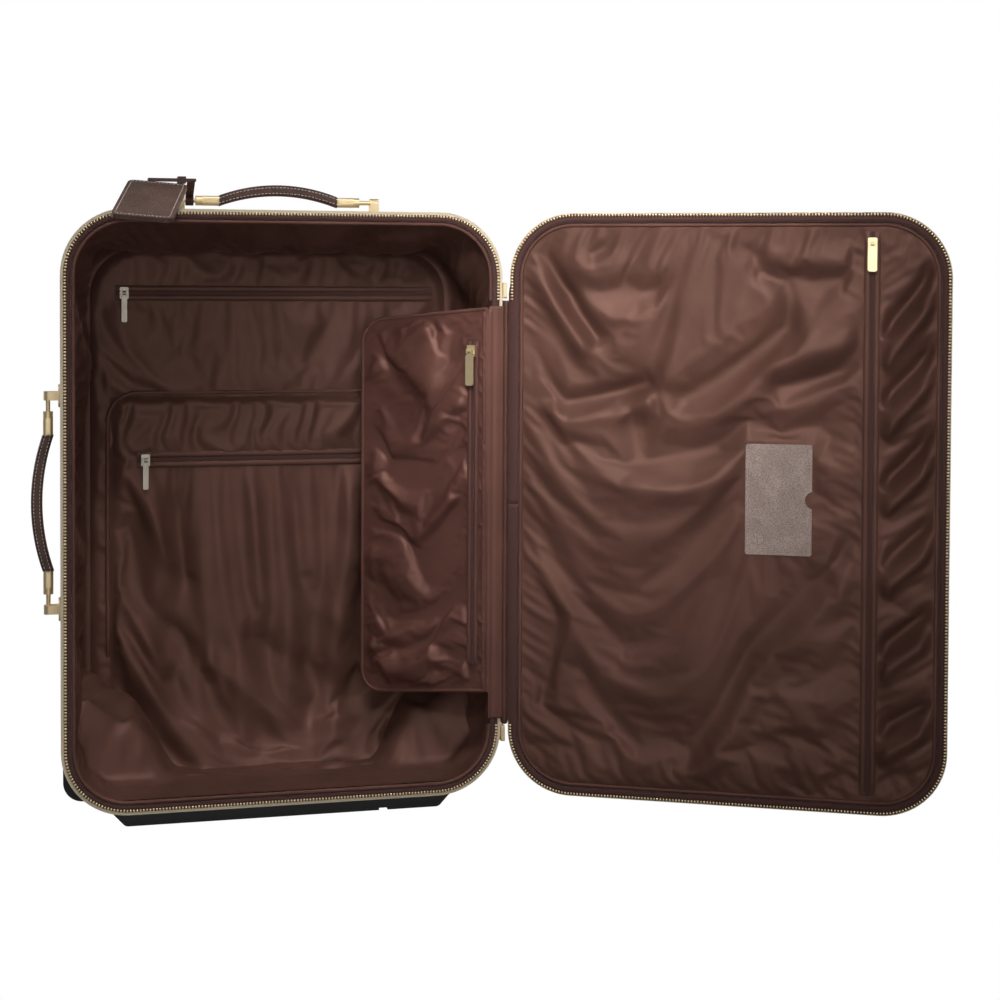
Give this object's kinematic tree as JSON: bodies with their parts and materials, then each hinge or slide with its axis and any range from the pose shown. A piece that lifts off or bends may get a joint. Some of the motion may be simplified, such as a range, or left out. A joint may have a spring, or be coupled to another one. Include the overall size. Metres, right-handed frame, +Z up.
{
  "type": "carry-on suitcase",
  "caption": "Soft-sided two-wheel carry-on suitcase standing open like a book, with satin lining, hinged zip pouch, leather carry handles, luggage tag and telescopic trolley handle.",
  "frame": {"origin": "middle of the flat underside of the front foot bar, on the floor", "axes": "+X along the width towards the hinge side, +Y from the mouth to the back, +Z up"},
  "size_m": [0.7852, 0.3351, 0.571],
  "materials": {
    "canvas": "plain coated cream canvas",
    "zip_tape": "dark brown woven tape",
    "zip_teeth": "light gold metal teeth",
    "lining": "brown satin",
    "piping": "brown satin over cord",
    "leather": "brown saddle leather, white stitching",
    "card_leather": "taupe leather",
    "gold_metal": "light gold, polished",
    "black_plastic": "moulded black plastic",
    "tyre": "black rubber",
    "tube_metal": "satin drawn tube",
    "steel": "plain steel",
    "board": "grey stiffening sheet"
  },
  "bodies": {
    "case": {"back_board": "board", "base_plate": "black_plastic", "base_screws": "steel", "case_lining": "lining", "case_piping": "piping", "case_shell": "canvas", "case_zip_tape": "zip_tape", "case_zip_teeth": "zip_teeth", "foot_bar": "black_plastic", "hinge_gusset": "lining", "left_wheel_housing": "black_plastic", "lower_pocket": "lining", "lower_pocket_piping": "piping", "lower_pocket_zip": "zip_tape", "main_zip_sliders": "gold_metal", "right_wheel_housing": "black_plastic", "side_handle_lugs": "gold_metal", "top_handle_lugs": "gold_metal", "trolley_bezel": "black_plastic", "trolley_bracket": "black_plastic", "trolley_outer_tubes": "tube_metal", "upper_pocket_zip": "zip_tape", "wheel_axles": "steel"},
    "lid": {"lid_shell": "canvas", "lid_zip_tape": "zip_tape", "lid_zip_teeth": "zip_teeth", "lid_piping": "piping", "lid_panels": "lining", "lid_pocket_zip": "zip_tape", "card_holder": "card_leather", "lid_gusset": "lining"},
    "pouch": {"pouch_pad": "lining", "pouch_zip": "zip_tape"},
    "upper_pocket_slider": {"upper_pocket_slider": "gold_metal"},
    "upper_pocket_pull": {"upper_pocket_pull": "gold_metal"},
    "lower_pocket_slider": {"lower_pocket_slider": "gold_metal"},
    "lower_pocket_pull": {"lower_pocket_pull": "gold_metal"},
    "lid_pocket_slider": {"lid_pocket_slider": "gold_metal"},
    "lid_pocket_pull": {"lid_pocket_pull": "gold_metal"},
    "pouch_slider": {"pouch_slider": "gold_metal"},
    "pouch_pull": {"pouch_pull": "gold_metal"},
    "top_handle": {"top_handle_grip": "leather", "top_handle_eyes": "gold_metal"},
    "side_handle": {"side_handle_grip": "leather", "side_handle_eyes": "gold_metal"},
    "tag": {"luggage_tag": "leather", "tag_strap": "leather", "tag_keeper": "leather"},
    "trolley_middle": {"trolley_mid_tubes": "tube_metal"},
    "trolley_top": {"trolley_inner_tubes": "tube_metal", "trolley_grip": "black_plastic", "button_spring": "steel"},
    "release_button": {"release_button": "black_plastic"},
    "left_wheel": {"left_wheel_hub": "black_plastic", "left_wheel_tyre": "tyre"},
    "right_wheel": {"right_wheel_hub": "black_plastic", "right_wheel_tyre": "tyre"}
  },
  "joints": [
    {"name": "lid_hinge", "type": "hinge", "parent": "case", "child": "lid", "pos_m": [0.198, -0.024, 0.269], "axis": [0, 0, 1], "range_deg": [-154, 26]},
    {"name": "pouch_hinge", "type": "hinge", "parent": "case", "child": "pouch", "pos_m": [0.1835, -0.0234, 0.279], "axis": [0, 0, 1], "range_deg": [-16, 160]},
    {"name": "tag_swing", "type": "hinge", "parent": "case", "child": "tag", "pos_m": [-0.0805, 0.05, 0.5515], "axis": [1, 0, 0], "range_deg": [-20, 3]},
    {"name": "top_handle_hinge", "type": "hinge", "parent": "case", "child": "top_handle", "pos_m": [0, 0.05, 0.5515], "axis": [1, 0, 0], "range_deg": [-80, 80]},
    {"name": "side_handle_hinge", "type": "hinge", "parent": "case", "child": "side_handle", "pos_m": [-0.2055, 0.05, 0.279], "axis": [0, 0, 1], "range_deg": [-80, 80]},
    {"name": "upper_pocket_zip_slide", "type": "slide", "parent": "case", "child": "upper_pocket_slider", "axis": [1, 0, 0], "range_m": [0, 0.284]},
    {"name": "upper_pocket_pull_hinge", "type": "hinge", "parent": "upper_pocket_slider", "child": "upper_pocket_pull", "pos_m": [-0.137, 0.0929, 0.467], "axis": [-1, 0, 0], "range_deg": [0, 165]},
    {"name": "lower_pocket_zip_slide", "type": "slide", "parent": "case", "child": "lower_pocket_slider", "axis": [1, 0, 0], "range_m": [0, 0.236]},
    {"name": "lower_pocket_pull_hinge", "type": "hinge", "parent": "lower_pocket_slider", "child": "lower_pocket_pull", "pos_m": [-0.118, 0.0846, 0.312], "axis": [-1, 0, 0], "range_deg": [0, 165]},
    {"name": "lid_pocket_zip_slide", "type": "slide", "parent": "lid", "child": "lid_pocket_slider", "axis": [0, 0, -1], "range_m": [0, 0.4724]},
    {"name": "lid_pocket_pull_hinge", "type": "hinge", "parent": "lid_pocket_slider", "child": "lid_pocket_pull", "pos_m": [0.48827, -0.17025, 0.5132], "axis": [-0.8988, 0.4384, 0], "range_deg": [0, 165]},
    {"name": "pouch_zip_slide", "type": "slide", "parent": "pouch", "child": "pouch_slider", "axis": [0, 0, -1], "range_m": [0, 0.274]},
    {"name": "pouch_pull_hinge", "type": "hinge", "parent": "pouch_slider", "child": "pouch_pull", "pos_m": [0.16448, -0.02305, 0.416], "axis": [-0.7771, 0.6293, 0], "range_deg": [0, 165]},
    {"name": "trolley_middle_slide", "type": "slide", "parent": "case", "child": "trolley_middle", "axis": [0, 0, 1], "range_m": [0, 0.24]},
    {"name": "trolley_top_slide", "type": "slide", "parent": "trolley_middle", "child": "trolley_top", "axis": [0, 0, 1], "range_m": [0, 0.23]},
    {"name": "release_button_press", "type": "slide", "parent": "trolley_top", "child": "release_button", "axis": [0, 0, -1], "range_m": [0, 0.003], "stiffness_N_per_m": 500, "deforming": ["button_spring"]},
    {"name": "left_wheel_spin", "type": "hinge", "parent": "case", "child": "left_wheel", "pos_m": [-0.165, 0.113, 0.026], "axis": [1, 0, 0], "continuous": true},
    {"name": "right_wheel_spin", "type": "hinge", "parent": "case", "child": "right_wheel", "pos_m": [0.165, 0.113, 0.026], "axis": [1, 0, 0], "continuous": true}
  ],
  "couplings": [
    {"joint": "tag_swing", "follows": "lid_hinge", "ratio": 0.1}
  ]
}
